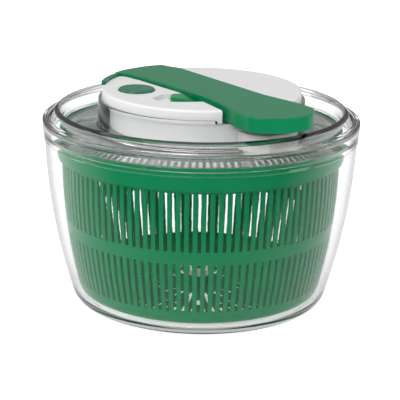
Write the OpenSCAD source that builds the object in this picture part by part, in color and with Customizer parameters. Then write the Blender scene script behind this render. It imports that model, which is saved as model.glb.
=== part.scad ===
// Lever-driven salad spinner. A slotted basket turns on a pin in a clear bowl, and the clear lid
// carries the lever, its gear train, the brake and the lever lock.
// Z is up, the origin is the centre of the bowl's foot, and sizes are in millimetres.

/* [Bowl] */
// Outer radius of the bowl's wall at its rim
bowl_r = 118.3; // [108:0.1:142]
// Height of the bowl's rim above the table
bowl_h = 133.8; // [110:0.1:165]
// Wall thickness of the bowl
bowl_wall = 2.4; // [1.8:0.1:3.2]
// Radius of the wall's arch, seen in section
bowl_arch_r = 436.5; // [350:0.5:600]
// Radius of the round corner between wall and floor
bowl_corner_r = 12; // [8:0.5:16]
// Height of the foot ring under the floor
foot_h = 1.8; // [1:0.1:3]
// How far the rim band stands proud of the wall
band_proud = 0.8; // [0.4:0.1:1.5]
// Radius of the centre pin that the basket turns on
pin_r = 5; // [4:0.1:6]

/* [Basket] */
// Gap between the basket's rim and the bowl
basket_gap = 7.1; // [5:0.1:10]
// How far the basket's rim stays below the bowl's rim
basket_drop = 2.8; // [2:0.1:5]
// Wall thickness of the basket
basket_wall = 2; // [1.5:0.1:2.6]
// Height of the solid rim band
basket_band_h = 17; // [12:0.5:22]
// Radius of the wall's arch, seen in section
basket_arch_r = 408; // [330:1:600]
// Number of slots in each row
slot_count = 108; // [60:2:120]
// Width of the upper slots
slot_w = 2.7; // [1.8:0.1:3]
// Width of the lower slots
low_slot_w = 2.3; // [1.6:0.1:2.8]

/* [Lid] */
// Radius of the housing wall that holds the mechanism
house_r = 78; // [77:0.5:82]
// Height of the housing wall above the lid's floor
house_h = 20.8; // [18:0.1:24]
// Thickness of the lid's floor and walls
lid_wall = 2.2; // [1.8:0.1:2.8]
// Height of the raised hoop above the bowl's rim
hoop_h = 16.2; // [12:0.1:20]

/* [Cover] */
// Thickness of the white cover
cover_wall = 2; // [1.4:0.1:2.4]
// Radius of the cover's rounded top edge
cover_round = 2; // [1:0.1:3]

/* [Lever] */
// Direction of the lever's free end, in degrees from +X
lever_turn = -55; // [-90:1:0]
// Length from the centre to the lever's free end
lever_reach = 119.5; // [112:0.5:119.5]
// Depth of the lever's side walls
lever_depth = 11; // [9:0.1:12]
// Thickness of the lever's shell
lever_wall = 2.2; // [1.6:0.1:2.6]
// How far the lever opens, in degrees
lever_open = 38; // [20:1:38]

/* [Gear train] */
// Teeth on the full circle of the lever's sector
sector_teeth = 47; // [44:1:47]
// Teeth on the pinion that the sector drives
pinion_teeth = 11; // [10:1:12]
// Teeth on each bevel gear
bevel_teeth = 16; // [14:1:18]
// Teeth on the large gear of the layshaft
wheel_teeth = 62; // [56:1:62]
// Teeth on the spindle's pinion
spindle_teeth = 16; // [14:1:18]
// Thinning of every tooth, which leaves the backlash
backlash = 0.3; // [0.2:0.05:0.4]
// Radius of the cross shaft, the layshaft and the hinge pin
shaft_r = 2; // [1.5:0.1:2.2]
// Radius of the spindle
spindle_r = 3; // [2.5:0.1:3.4]

/* [Brake and lock] */
// Radius of the brake button
button_r = 13.5; // [11:0.1:14]
// Travel of the brake button
brake_travel = 3; // [2:0.1:3]
// Travel of the lever lock
lock_travel = 6; // [4:0.5:6]

/* [Fits] */
// Radial clearance of a shaft that turns in a bore
run_fit = 0.06; // [0.03:0.01:0.1]
// Gap between faces that move past each other
gap = 0.4; // [0.3:0.05:0.5]
// Gap between the lid and the bowl
seat_gap = 0.2; // [0.1:0.05:0.4]

/* [Hidden] */
$fn = 64;

clear_plastic = [0.86, 0.88, 0.88, 0.35];
green_plastic = [0.02, 0.5, 0.28];
white_plastic = [0.95, 0.95, 0.94];
pale_plastic = [0.85, 0.85, 0.8];
steel = [0.7, 0.71, 0.73];
rubber = [0.12, 0.12, 0.12];

// A hair of overlap that makes cuts run past faces
over = 0.01;
bowl_steps = 14;
basket_steps = 5;
corner_steps = 6;

// Bowl levels
floor_z = foot_h + bowl_wall;
arch_rise = 6.2;
bowl_arch_z = bowl_h + arch_rise;
band_h = 7;
band_r = bowl_r + band_proud;
foot_w = 3.2;
pin_h = 11;
pin_top = floor_z + pin_h;

// Basket levels
bowl_top_in = bowl_r - bowl_wall;
basket_rim_r = bowl_top_in - basket_gap;
rim_step = 3.4;
basket_r = basket_rim_r - rim_step;
basket_top = bowl_h - basket_drop;
basket_floor_z = floor_z + 3.6;
basket_corner_r = 10;
band_low_z = basket_top - basket_band_h;
basket_arch_z = band_low_z - 2;
slot_top_z = basket_arch_z - 0.6;
slot_room = slot_top_z - basket_floor_z;
mid_band_high_z = basket_floor_z + slot_room * 0.575;
mid_band_low_z = basket_floor_z + slot_room * 0.48;
slot_low_z = basket_floor_z + 11.8;
tab_count = 4;
tab_w = 10;
rib_w = 2.4;

// Pivot bush
bush_wall = 2;
bush_r = pin_r + run_fit + bush_wall;
bush_collar = 2.4;
bush_flange_h = 1.3;
hub_low_z = basket_floor_z;
hub_high_z = pin_top + 0.6;
hub_wall = 3;

// Lid and mechanism levels
lid_z = bowl_h + seat_gap;
flange_r = band_r + 0.9;
lid_floor_z = lid_z + lid_wall;
skirt_gap = 0.4;
skirt_r = bowl_top_in - skirt_gap;
skirt_drop = 4.5;
tray_floor = 1.8;
tray_z = lid_floor_z + gap;
deck_z = tray_z + tray_floor;
house_in_r = house_r - 2.5;
tray_r = house_in_r - 2.1;
tray_wall = 1.6;
tray_top_z = deck_z + 15.4;
cover_r = house_in_r - 0.3;
cover_z = deck_z + 25.6;
lever_z = cover_z + 2.5;
lever_low_z = lever_z - lever_depth;
plate_z = lever_z - lever_wall;
notch_z = lever_low_z - 0.8;
tail_notch_z = lever_low_z - 2.6;
box_top_z = lever_low_z - 6;

// Lid hoop section
crest_r = flange_r - 12.7;
slope_r = flange_r - 3.8;
slope_z = lid_z + 9;
hoop_top = lid_z + hoop_h;
flange_h = 8;
trough_r = crest_r - 4.8;

// Rest box under the lever's free end
box_out = trough_r - 2.5;
box_half_w = 21;
box_cut = 9;

// Lever hinge and gears, in the lever's own direction
hinge_s = -64;
hinge_z = deck_z + 21.6;
hinge_drop = 3;
gear_m = 1;
stub = 0.8;
dedendum = 1.05;
pressure = 25;
flank_steps = 4;
sector_r = sector_teeth * gear_m / 2;
mesh_reach = (sector_teeth + pinion_teeth) * gear_m / 2;
mesh_angle = -asin(hinge_drop / mesh_reach);
tooth_step = 360 / sector_teeth;
last_tooth = floor(-lever_open / tooth_step);
shaft_s = hinge_s + sqrt(mesh_reach * mesh_reach - hinge_drop * hinge_drop);
shaft_z = hinge_z - hinge_drop;
sector_w = 5;
sector_screw_s = -51;
sector_screw_n = 4.3;
sector_screw_r = 1.2;
pinion_w = 8;

// Bevel pair: the cross shaft's gear turns the layshaft
bevel_m = 0.8;
bevel_r = bevel_teeth * bevel_m / 2;
bevel_add = 0.5;
bevel_ded = 0.85;
bevel_face = 2.6;
lay_n = 17;

// Layshaft wheel and spindle pinion
lay_reach = sqrt(shaft_s * shaft_s + lay_n * lay_n);
lay_angle = atan2(-lay_n, -shaft_s);
wheel_m = 2 * lay_reach / (wheel_teeth + spindle_teeth);
wheel_z = deck_z + gap;
wheel_w = 3;
bridge_z = wheel_z + wheel_w + 0.6;
bridge_t = 2;
bridge_top = bridge_z + bridge_t;
ear_w = 3;
ear_r = 4;
ear_low_n = -10;
ear_high_n = 5;
post_r = 3;
posts = [[9, -13], [9, 20], [-30, -20.5]];

// Spindle, clutch and drive plate
plate_t = 2;
drive_z = lid_z - 6.2;
drive_top = drive_z + plate_t;
drive_r = basket_rim_r - basket_wall - 3.7;
tab_r = basket_rim_r - basket_wall - 0.5;
ratchet_r = 14;
ratchet_in = 11.8;
ratchet_wall = 2;
ratchet_teeth = 12;
ratchet_h = 3.2;
drive_hub_r = 8;
drive_hub_z = drive_z - 6.3;
spindle_low = drive_hub_z - 0.2;
clutch_z = drive_top + 0.5;
clutch_h = 2.7;
pawl_r = 11.2;
pawl_count = 3;
bush_out = 5.5;

// Screws
screw_r = 1.5;
head_r = 3;
head_h = 2;
lid_screw_r = 66;
lid_screw_angles = [55, 118, 232, 308];
lid_screw_len = 14;

// Brake, at its own place on the cover
brake_x = -48.7;
brake_y = -12;
button_wall = 1.6;
button_z = cover_z + 1.6;
button_skirt = 8;
stem_r = 4;
shoe_r = 5.6;
shoe_z = drive_top + brake_travel + 0.2;
shoe_top = tray_z - 0.2;
spring_r = 8.4;
spring_wire = 1;
spring_turns = 7;

// Lever lock, which slides along X
lock_well = 3.6;
lock_floor_z = cover_z - lock_well;
tongue_t = 1.5;
tongue_z = lever_low_z - 0.25 - tongue_t;
nose_z = lever_low_z + 1.6;
nose_h = 3.2;
lock_s = 16;
tongue_w = 6;

// Radius of an arched wall at height z, where the arch is upright at height top
function arched(r, z, top, arch) = r - arch + sqrt(arch * arch - (top - z) * (top - z));

// Lean of an arched wall at height z, in degrees from upright
function lean(z, top, arch) = asin((top - z) / arch);

// Section of a bowl from the middle of its floor at height low, round its corner and up to height high
function shell(r, low, high, top, arch, corner, inset, steps) =
    let (tilt = lean(low + corner, top, arch),
         touch = low + corner * (1 - sin(tilt)),
         mid = arched(r, touch, top, arch) - inset - corner * cos(tilt))
    concat(
        [for (i = [0 : corner_steps]) let (a = -90 + (90 - tilt) * i / corner_steps)
            [mid + corner * cos(a), low + corner * (1 + sin(a))]],
        [for (i = [1 : steps]) let (z = touch + (high - touch) * i / steps)
            [arched(r, z, top, arch) - inset, z]]);

function reversed(list) = [for (i = [len(list) - 1 : -1 : 0]) list[i]];
function unit(v) = v / norm(v);
function flat(p) = [p[0], p[1]];

// Outline with round corners, from corners given as [x, y, radius]
function rounded(c, steps = 5) = [
    for (i = [0 : len(c) - 1])
        let (n = len(c), q = flat(c[i]), r = c[i][2],
             a = unit(flat(c[(i + n - 1) % n]) - q), b = unit(flat(c[(i + 1) % n]) - q),
             half = acos(a * b) / 2,
             mid = q + unit(a + b) * r / sin(half),
             from = q + a * r / tan(half) - mid,
             turn = 180 - 2 * half,
             way = (a[0] * b[1] - a[1] * b[0]) > 0 ? -1 : 1)
        for (k = [0 : steps])
            let (t = way * turn * k / steps)
            mid + [from[0] * cos(t) - from[1] * sin(t), from[0] * sin(t) + from[1] * cos(t)]
];

// Angle between an involute's start and its point at radius r, in degrees
function involute(base, r) = let (t = sqrt(max(0, pow(r / base, 2) - 1))) t * 180 / PI - atan(t);

// Outline of teeth number first to last of a gear, each tooth centred on its own step
function teeth_outline(count, m, add, ded, slack, first, last) =
    let (pitch = count * m / 2, base = pitch * cos(pressure), root = pitch - ded,
         half = 90 / count - slack / pitch / 2 * 180 / PI / 2 + involute(base, pitch))
    [for (i = [first : last]) for (side = [-1, 1]) for (k = [0 : flank_steps])
        let (step = side < 0 ? k : flank_steps - k,
             r = root + (add + ded) * step / flank_steps,
             a = 360 / count * i + side * (half - involute(base, max(r, base))))
        [r * cos(a), r * sin(a)]];

module gear(count, m, w, add, ded) {
    linear_extrude(w) polygon(teeth_outline(count, m, add, ded, backlash, 0, count - 1));
}

// Moves pieces that are drawn along X into the lever's direction
module along_lever() { rotate(lever_turn) children(); }

// Stands a profile drawn in (s, z) upright, w wide and centred on n
module upright(n, w) { translate([0, n + w / 2, 0]) rotate([90, 0, 0]) linear_extrude(w) children(); }

module screw(len) {
    difference() {
        union() {
            translate([0, 0, -head_h]) cylinder(r = head_r, h = head_h);
            cylinder(r = screw_r, h = len);
        }
        for (a = [0, 90]) rotate(a)
            translate([-head_r * 0.6, -0.4, -head_h - over]) cube([head_r * 1.2, 0.8, 1.1]);
    }
}

// Round wire wound round Z, as one closed tube
module coil(r, wire, turns, h) {
    sides = 8;
    per_turn = 16;
    rings = turns * per_turn;
    points = [for (i = [0 : rings]) let (a = 360 * i / per_turn) for (j = [0 : sides - 1])
        let (b = 360 * j / sides, d = r + wire / 2 * cos(b))
        [d * cos(a), d * sin(a), h * i / rings + wire / 2 * sin(b)]];
    walls = [for (i = [0 : rings - 1]) for (j = [0 : sides - 1])
        let (k = (j + 1) % sides, p = i * sides, q = p + sides) [p + j, q + j, q + k, p + k]];
    start = [for (j = [0 : sides - 1]) j];
    end = [for (j = [sides - 1 : -1 : 0]) rings * sides + j];
    polyhedron(points, concat(walls, [start, end]));
}

module bowl() color(clear_plastic) {
    outside = shell(bowl_r, 0, bowl_h - band_h, bowl_arch_z, bowl_arch_r, bowl_corner_r, 0,
        bowl_steps);
    inside = shell(bowl_r, floor_z, bowl_h, bowl_arch_z, bowl_arch_r,
        bowl_corner_r - bowl_wall, bowl_wall, bowl_steps);
    ring_r = outside[0][0] - foot_w;
    rotate_extrude() polygon(concat(
        [[0, foot_h], [ring_r - foot_h, foot_h], [ring_r, 0]], outside,
        [[band_r, bowl_h - band_h + band_proud], [band_r, bowl_h]],
        reversed(inside), [[pin_r + 4, floor_z], [pin_r, floor_z + 2], [pin_r, pin_top - 0.8],
        [pin_r - 0.8, pin_top], [0, pin_top]]));
}

module slot_row(count, w, low, high, in_r, out_r) {
    for (i = [0 : count - 1]) rotate(360 / count * i)
        translate([in_r, -w / 2, low]) cube([out_r - in_r, w, high - low]);
}

module floor_wedges(count, wide, in_r, out_r) {
    c = cos(wide / 2);
    s = sin(wide / 2);
    for (i = [0 : count - 1]) rotate(360 / count * i) translate([0, 0, basket_floor_z - 1])
        linear_extrude(basket_wall + 2)
            polygon([[in_r * c, -in_r * s], [out_r * c, -out_r * s],
                     [out_r * c, out_r * s], [in_r * c, in_r * s]]);
}

module basket() color(green_plastic) {
    outside = shell(basket_r, basket_floor_z, basket_arch_z, basket_arch_z, basket_arch_r,
        basket_corner_r, 0, basket_steps);
    inside = shell(basket_r, basket_floor_z + basket_wall, basket_arch_z, basket_arch_z, basket_arch_r,
        basket_corner_r - basket_wall, basket_wall, basket_steps);
    rim_in = basket_rim_r - basket_wall;
    bore_r = bush_r + run_fit;
    hub_r = bore_r + hub_wall;
    floor_top = basket_floor_z + basket_wall;
    low_end = outside[corner_steps][0];
    difference() {
        rotate_extrude() polygon(concat(
            [[bore_r, basket_floor_z]], outside,
            [[basket_rim_r, band_low_z], [basket_rim_r, basket_top], [rim_in, basket_top],
             [rim_in, band_low_z + 1]],
            reversed(inside),
            [[hub_r + 2, floor_top], [hub_r, floor_top + 2], [hub_r, hub_high_z], [bore_r, hub_high_z]]));
        slot_row(slot_count, slot_w, mid_band_high_z, slot_top_z, basket_r - 8, basket_r + 2);
        slot_row(slot_count, low_slot_w, slot_low_z, mid_band_low_z, low_end - 6, basket_r + 2);
        // Rings of wedge-shaped openings in the floor: how many, their angle and their radii
        for (ring = [[18, 10, 22, 34], [36, 3.33, 38, 52], [54, 3.33, 56, 70]])
            floor_wedges(ring[0], ring[1], ring[2], ring[3]);
    }
    // Pairs of ribs that hold the drive plate's tabs
    for (i = [0 : tab_count - 1], side = [-1, 1]) rotate(360 / tab_count * i)
        translate([rim_in - 2, side * (tab_w / 2 + gap + rib_w / 2) - rib_w / 2, band_low_z + 2])
            cube([3, rib_w, basket_top - band_low_z - 3]);
}

module pivot_bush() color(pale_plastic) {
    bore = pin_r + run_fit;
    low = hub_low_z - 0.3;
    high = hub_high_z + 0.3;
    rotate_extrude() polygon([
        [bore, low - bush_flange_h], [bush_r + bush_collar, low - bush_flange_h],
        [bush_r + bush_collar, low], [bush_r, low], [bush_r, high], [bush_r + 1, high],
        [bush_r + 1, high + 0.8], [bush_r - 1, high + 2], [0, high + 2], [0, pin_top], [bore, pin_top]]);
}

module rest_box_outline(inset) {
    half = box_half_w - inset;
    out = box_out - inset;
    start = house_r - 6 + inset;
    polygon([[start, -half], [out - box_cut - 3, -half], [out, -half + box_cut],
             [out, half - box_cut], [out - box_cut, half], [start, half]]);
}

module lid() color(clear_plastic) {
    t = lid_wall;
    difference() {
        union() {
            rotate_extrude() polygon([
                [0, lid_z], [trough_r, lid_z], [trough_r + 2.8, lid_z + 1.6],
                [crest_r - 2.3 + t, lid_z + 5], [crest_r - 0.5 + t, hoop_top - t - 0.9],
                [slope_r - t, slope_z - 1.2], [slope_r - t, lid_z + 5],
                [skirt_r - t, lid_z + 3.4], [skirt_r - t, lid_z - skirt_drop],
                [skirt_r, lid_z - skirt_drop], [skirt_r, lid_z],
                [flange_r - 0.4, lid_z], [flange_r, lid_z + 0.4], [flange_r, lid_z + flange_h - 0.7],
                [flange_r - 0.7, lid_z + flange_h], [slope_r + 1.2, lid_z + flange_h],
                [slope_r + 1, lid_z + flange_h - 0.6], [slope_r + 0.4, lid_z + flange_h - 0.6],
                [slope_r, slope_z], [crest_r + 1.2, hoop_top - 0.3], [crest_r + 0.5, hoop_top],
                [crest_r - 0.1, hoop_top - 0.4], [crest_r - 2.4, lid_floor_z + 2.4],
                [crest_r - 3, lid_floor_z + 0.8], [trough_r, lid_floor_z],
                [house_r + 1.6, lid_floor_z], [house_r, lid_floor_z + 1.6],
                [house_r, lid_floor_z + house_h - 0.6], [house_r - 0.6, lid_floor_z + house_h],
                [house_in_r, lid_floor_z + house_h], [house_in_r, lid_floor_z], [0, lid_floor_z]]);
            along_lever() translate([0, 0, lid_floor_z - over])
                difference() {
                    linear_extrude(box_top_z - lid_floor_z) rest_box_outline(0);
                    cylinder(r = house_r - 1.2, h = box_top_z);
                }
        }
        // Hollow of the rest box, open underneath
        along_lever() translate([0, 0, lid_z - 1])
            difference() {
                linear_extrude(box_top_z - lid_z + 1 - t) rest_box_outline(t);
                cylinder(r = house_r + 2.6, h = box_top_z);
            }
        // Ways through the housing wall for the lever's free end and for its tail
        along_lever() translate([50, -35, notch_z]) cube([40, 64, 30]);
        along_lever() translate([hinge_s - 30, -31, tail_notch_z]) cube([22, 50, 30]);
        translate([0, 0, lid_z - 1]) cylinder(r = bush_out, h = 10);
        translate([brake_x, brake_y, lid_z - 1]) cylinder(r = shoe_r + gap, h = 10);
        for (a = lid_screw_angles) rotate(lever_turn + a)
            translate([lid_screw_r, 0, lid_z - 1]) cylinder(r = screw_r + 0.1, h = 10);
    }
}

module hinge_ear() {
    reach = -tray_r + tray_wall + 0.4;
    translate([hinge_s, hinge_z]) circle(r = ear_r);
    polygon([[reach, bridge_z + 1], [hinge_s + ear_r, bridge_z + 1], [hinge_s + ear_r, hinge_z],
             [hinge_s - ear_r, hinge_z], [reach, tray_top_z - 2]]);
}

module gear_tray() color(white_plastic) {
    ear_n = 12;
    screen_top = tray_top_z + 3;
    difference() {
        union() {
            // The wall stands higher behind the lever's tail
            difference() {
                rotate_extrude() polygon([
                    [0, tray_z], [tray_r - 1.6, tray_z], [tray_r, tray_z + 1.6], [tray_r, screen_top],
                    [tray_r - tray_wall, screen_top], [tray_r - tray_wall, deck_z], [0, deck_z]]);
                along_lever() translate([0, 0, tray_top_z]) linear_extrude(10) polygon([
                    [0, 0], [-tray_r - 20, 17.5], [-tray_r - 20, tray_r + 20], [tray_r + 20, tray_r + 20],
                    [tray_r + 20, -tray_r - 20], [-tray_r - 20, -tray_r - 20], [-tray_r - 20, -38]]);
            }
            along_lever() for (side = [-1, 1]) upright(side * ear_n, ear_w) hinge_ear();
            along_lever() for (p = posts) translate([p[0], p[1], deck_z - over])
                cylinder(r = post_r, h = bridge_z - deck_z + over);
            translate([brake_x, brake_y, deck_z - over]) cylinder(r = stem_r + 2.4, h = 8);
        }
        along_lever() translate([50, -35, notch_z]) cube([40, 64, 30]);
        along_lever() upright(0, 60) translate([hinge_s, hinge_z]) circle(r = shaft_r);
        along_lever() for (p = posts) translate([p[0], p[1], deck_z]) cylinder(r = screw_r, h = 20);
        along_lever() translate([shaft_s, lay_n, tray_z + 0.5]) cylinder(r = shaft_r + run_fit, h = 20);
        translate([brake_x, brake_y, tray_z - 1]) cylinder(r = stem_r + run_fit, h = 20);
        translate([0, 0, tray_z - 1]) cylinder(r = bush_out, h = 10);
        for (a = lid_screw_angles) rotate(lever_turn + a)
            translate([lid_screw_r, 0, tray_z - 1]) cylinder(r = screw_r + 0.1, h = 10);
    }
}

// Lever channel in the cover, in the lever's direction, widened on both sides by extra
module channel_outline(extra) {
    polygon([[-90, -42 - extra], [-69.5, -33.8 - extra], [-61, -29 - extra], [-45.6, -26.7 - extra],
             [-17.8, -25.4 - extra],
             [0, -24.2 - extra], [29.9, -24.6 - extra], [71.4, -30.5 - extra], [90, -34 - extra],
             [90, 29 + extra], [71, 25.5 + extra], [50, 22.5 + extra], [-57, 22.4 + extra],
             [-66, 20.6 + extra], [-90, 18.6 + extra]]);
}

// Well in the cover for the lock, open to the channel
module lock_well_outline(inset) {
    polygon(rounded([[-37 + inset, -37.5, 5], [-29, -25.5 - inset, 7], [-15, -22.5 - inset, 5],
                     [6, -30, 2], [6, -46 + inset, 2], [-16, -49 + inset, 7], [-31, -48 + inset, 6]]));
}

module cover() color(white_plastic) {
    wall = 1.6;
    channel_floor = lever_low_z - 1.9;
    low = channel_floor - wall;
    well_floor = lock_floor_z - wall;
    r = cover_r;
    c = cover_round;
    difference() {
        union() {
            rotate_extrude() polygon(concat(
                [[0, cover_z - cover_wall], [r - 2.7, cover_z - cover_wall], [r - 2.7, tray_top_z + 0.2],
                 [r, tray_top_z + 0.2]],
                [for (a = [0 : 15 : 90]) [r - c + c * cos(a), cover_z - c + c * sin(a)]],
                [[0, cover_z]]));
            along_lever() intersection() {
                translate([0, 0, low]) linear_extrude(cover_z - low - 1) channel_outline(wall);
                translate([0, 0, low]) cylinder(r = tray_r - tray_wall - 0.3, h = 40);
            }
            intersection() {
                translate([0, 0, well_floor]) linear_extrude(cover_z - well_floor - 1)
                    lock_well_outline(-wall);
                along_lever() translate([-90, -90, 0]) cube([180, 66, 300]);
            }
            translate([brake_x, brake_y, cover_z - button_skirt])
                cylinder(r = button_r + gap + wall, h = button_skirt - 1);
            for (a = lid_screw_angles) rotate(lever_turn + a) translate([lid_screw_r, 0, deck_z])
                cylinder(r = screw_r + 1.8, h = cover_z - deck_z - 1);
        }
        along_lever() translate([0, 0, channel_floor]) linear_extrude(40) channel_outline(0);
        // The mechanism comes up through the channel's floor
        along_lever() translate([0, 0, low - 1]) linear_extrude(4) intersection() {
            channel_outline(0);
            translate([-90, -90]) square([92, 180]);
        }
        along_lever() translate([shaft_s, lay_n, low - 1]) cylinder(r = bevel_r + 3, h = 4);
        translate([0, 0, lock_floor_z]) linear_extrude(40) lock_well_outline(0);
        // Slot for the lock's stem, and its tongue's way through the channel wall
        translate([-23 - lock_travel, -41, low - 1]) cube([12 + lock_travel, 7, 40]);
        along_lever() translate([lock_s - 10, -34, low - 1]) cube([16, 14, nose_z + nose_h + gap - low + 1]);
        translate([brake_x, brake_y, cover_z - 20]) cylinder(r = button_r + gap, h = 30);
        // Rebate under the lever's wing
        along_lever() translate([0, 0, hinge_z]) wing_sector(196, 214, cover_r - 2.1, cover_r + 3, 10);
        along_lever() translate([0, 0, cover_z - 1.5]) wing_sector(211, 232, cover_r - 2.2, cover_r + 3, 10);
        for (a = lid_screw_angles) rotate(lever_turn + a) translate([lid_screw_r, 0, deck_z - 1])
            cylinder(r = screw_r, h = lid_screw_len - 1);
    }
}

// Ring sector between two angles and two radii
module wing_sector(from, to, in_r, out_r, h) {
    rotate(from) rotate_extrude(angle = to - from) translate([in_r, 0]) square([out_r - in_r, h]);
}

module gear_bridge() color(white_plastic) {
    outline = rounded([[-41.5, -12, 2], [-41.5, 24, 5], [-18, 24, 4], [13.5, 24.5, 4], [13.5, -17.5, 4],
                       [-24, -25, 4], [-35.5, -25, 4], [-36, -12, 0.5]]);
    along_lever() difference() {
        union() {
            translate([0, 0, bridge_z]) linear_extrude(bridge_t) polygon(outline);
            for (n = [ear_low_n, ear_high_n]) {
                translate([shaft_s - ear_r, n, bridge_top - over])
                    cube([2 * ear_r, ear_w, shaft_z - bridge_top + over]);
                upright(n + ear_w / 2, ear_w) translate([shaft_s, shaft_z]) circle(r = ear_r);
            }
        }
        upright(0, 40) translate([shaft_s, shaft_z]) circle(r = shaft_r + run_fit);
        translate([shaft_s, lay_n, bridge_z - 1]) cylinder(r = shaft_r + run_fit, h = 5);
        translate([0, 0, bridge_z - 1]) cylinder(r = spindle_r + run_fit, h = 5);
        for (p = posts) translate([p[0], p[1], bridge_z - 1]) cylinder(r = screw_r + 0.1, h = 5);
    }
}

module bridge_screws() color(steel) {
    along_lever() for (p = posts) translate([p[0], p[1], bridge_top]) rotate([180, 0, 0]) screw(5);
}

module lid_screws() color(steel) {
    for (a = lid_screw_angles) rotate(lever_turn + a) translate([lid_screw_r, 0, lid_z]) screw(lid_screw_len);
}

// Top outline of the lever, in its own direction
lever_corners = [
    [-78.8, -0.3, 76], [-75.5, -22.7, 76], [-70.2, -34.2, 1.2], [-61.5, -27.3, 6], [-45, -24.6, 30],
    [-18, -23, 30], [30, -22, 30], [58, -24.5, 30], [86, -31, 16], [107, -31, 14], [lever_reach, -10, 16],
    [lever_reach, 12, 16], [104, 25, 16], [84, 25, 20], [52, 20.3, 30], [0, 20, 30], [-58, 20, 6],
    [-70, 15.5, 6], [-76.6, 14.5, 4.5]
];

module lever_outline(inset) {
    intersection_for (shift = [[0, 0], [inset, 0], [-inset, 0], [0, inset], [0, -inset],
                               [inset * 0.7, inset * 0.7], [-inset * 0.7, inset * 0.7],
                               [inset * 0.7, -inset * 0.7], [-inset * 0.7, -inset * 0.7]])
        translate(shift) polygon(rounded(lever_corners));
}

module lever() color(green_plastic) {
    lug_n = 8;
    lug_w = 3.6;
    lip = 3.5;
    deep_from = hinge_s + 14;
    along_lever() difference() {
        union() {
            difference() {
                translate([0, 0, lever_low_z]) linear_extrude(lever_depth) lever_outline(0);
                translate([0, 0, lever_low_z - 1]) linear_extrude(lever_depth - lever_wall + 1)
                    lever_outline(lever_wall);
                translate([-100, -60, lever_low_z - 1])
                    cube([100 + deep_from, 120, lever_depth - lip + 1]);
            }
            translate([0, 0, lever_z - lip])
                wing_sector(203, 229, cover_r - 1.7, cover_r + 1.6, lip);
            for (side = [-1, 1]) upright(side * lug_n, lug_w) {
                translate([hinge_s, hinge_z]) circle(r = ear_r);
                translate([hinge_s - ear_r, hinge_z]) square([2 * ear_r, plate_z - hinge_z + over]);
            }
            for (s = [34, 66]) translate([s, -19, plate_z - 4]) cube([1.6, 38, 4 + over]);
        }
        upright(0, 40) translate([hinge_s, hinge_z]) circle(r = shaft_r + run_fit);
        // Window that the lock's nose enters
        translate([lock_s - 8.5, -30, nose_z - 0.6]) cube([13, 12, nose_h + 1.2]);
        for (side = [-1, 1]) translate([sector_screw_s, side * sector_screw_n, plate_z - 1])
            cylinder(r = sector_screw_r, h = 2.4);
    }
}

module sector_gear() color(pale_plastic) {
    pad_from = -58;
    pad_to = -44;
    pad_t = 2;
    pad_w = 12;
    root = sector_r - dedendum;
    tips = teeth_outline(sector_teeth, gear_m, stub, dedendum, backlash, last_tooth, 1);
    low_a = tooth_step * (last_tooth - 0.3);
    high_a = tooth_step * 1.3;
    along_lever() difference() {
        union() {
            upright(0, sector_w) {
                translate([hinge_s, hinge_z]) {
                    circle(r = ear_r);
                    rotate(mesh_angle) polygon(concat([[0, 0], [root * cos(low_a), root * sin(low_a)]], tips,
                        [[root * cos(high_a), root * sin(high_a)]]));
                }
                polygon([[hinge_s + 1, hinge_z], [pad_to - 3, hinge_z - 2], [pad_to, plate_z - pad_t],
                         [pad_to, plate_z], [pad_from, plate_z], [pad_from - 2, hinge_z + 3]]);
            }
            translate([pad_from, -pad_w / 2, plate_z - pad_t])
                cube([pad_to - pad_from, pad_w, pad_t]);
        }
        upright(0, 20) translate([hinge_s, hinge_z]) circle(r = shaft_r + run_fit);
        for (side = [-1, 1]) translate([sector_screw_s, side * sector_screw_n, plate_z - pad_t - 1])
            cylinder(r = sector_screw_r, h = 5);
    }
}

module sector_screws() color(steel) {
    along_lever() for (side = [-1, 1]) translate([sector_screw_s, side * sector_screw_n, plate_z - 2]) {
        translate([0, 0, -1.2]) cylinder(r = sector_screw_r + 0.5, h = 1.2);
        cylinder(r = sector_screw_r, h = 3.4);
    }
}

module hinge_pin() color(steel) {
    along_lever() translate([hinge_s, 15.5, hinge_z]) rotate([90, 0, 0]) difference() {
        cylinder(r = shaft_r, h = 31);
        for (n = [1, 29.2]) translate([0, 0, n]) difference() {
            cylinder(r = shaft_r + 1, h = 0.8);
            translate([0, 0, -1]) cylinder(r = shaft_r - 0.5, h = 3);
        }
    }
}

module hinge_clips() color(steel) {
    along_lever() for (n = [14.5, -13.7]) translate([hinge_s, n, hinge_z]) rotate([90, 0, 0])
        difference() {
            cylinder(r = shaft_r + 1.6, h = 0.8);
            translate([0, 0, -1]) cylinder(r = shaft_r - 0.5, h = 3);
            translate([-1.1, 0, -1]) cube([2.2, 5, 3]);
        }
}

module lever_spring() color(steel) {
    wire = 0.8;
    along_lever() translate([hinge_s, 5.6, hinge_z]) rotate([90, 0, 0]) {
        coil(shaft_r + 1, wire, 2.5, 2.4);
    }
}

module cross_shaft() color(steel) {
    along_lever() translate([shaft_s, lay_n - bevel_r + bevel_face + 0.2, shaft_z]) rotate([90, 0, 0])
        cylinder(r = shaft_r, h = 24.5);
}

module drive_pinion() color(pale_plastic) {
    phase = mesh_angle + 180 + 180 / pinion_teeth;
    along_lever() translate([shaft_s, pinion_w / 2, shaft_z]) rotate([90, 0, 0]) difference() {
        union() {
            rotate(phase) gear(pinion_teeth, gear_m, pinion_w, stub, dedendum);
            cylinder(r = shaft_r + 1.6, h = pinion_w + 2.7);
        }
        translate([0, 0, -1]) cylinder(r = shaft_r, h = pinion_w + 6);
    }
}

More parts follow.
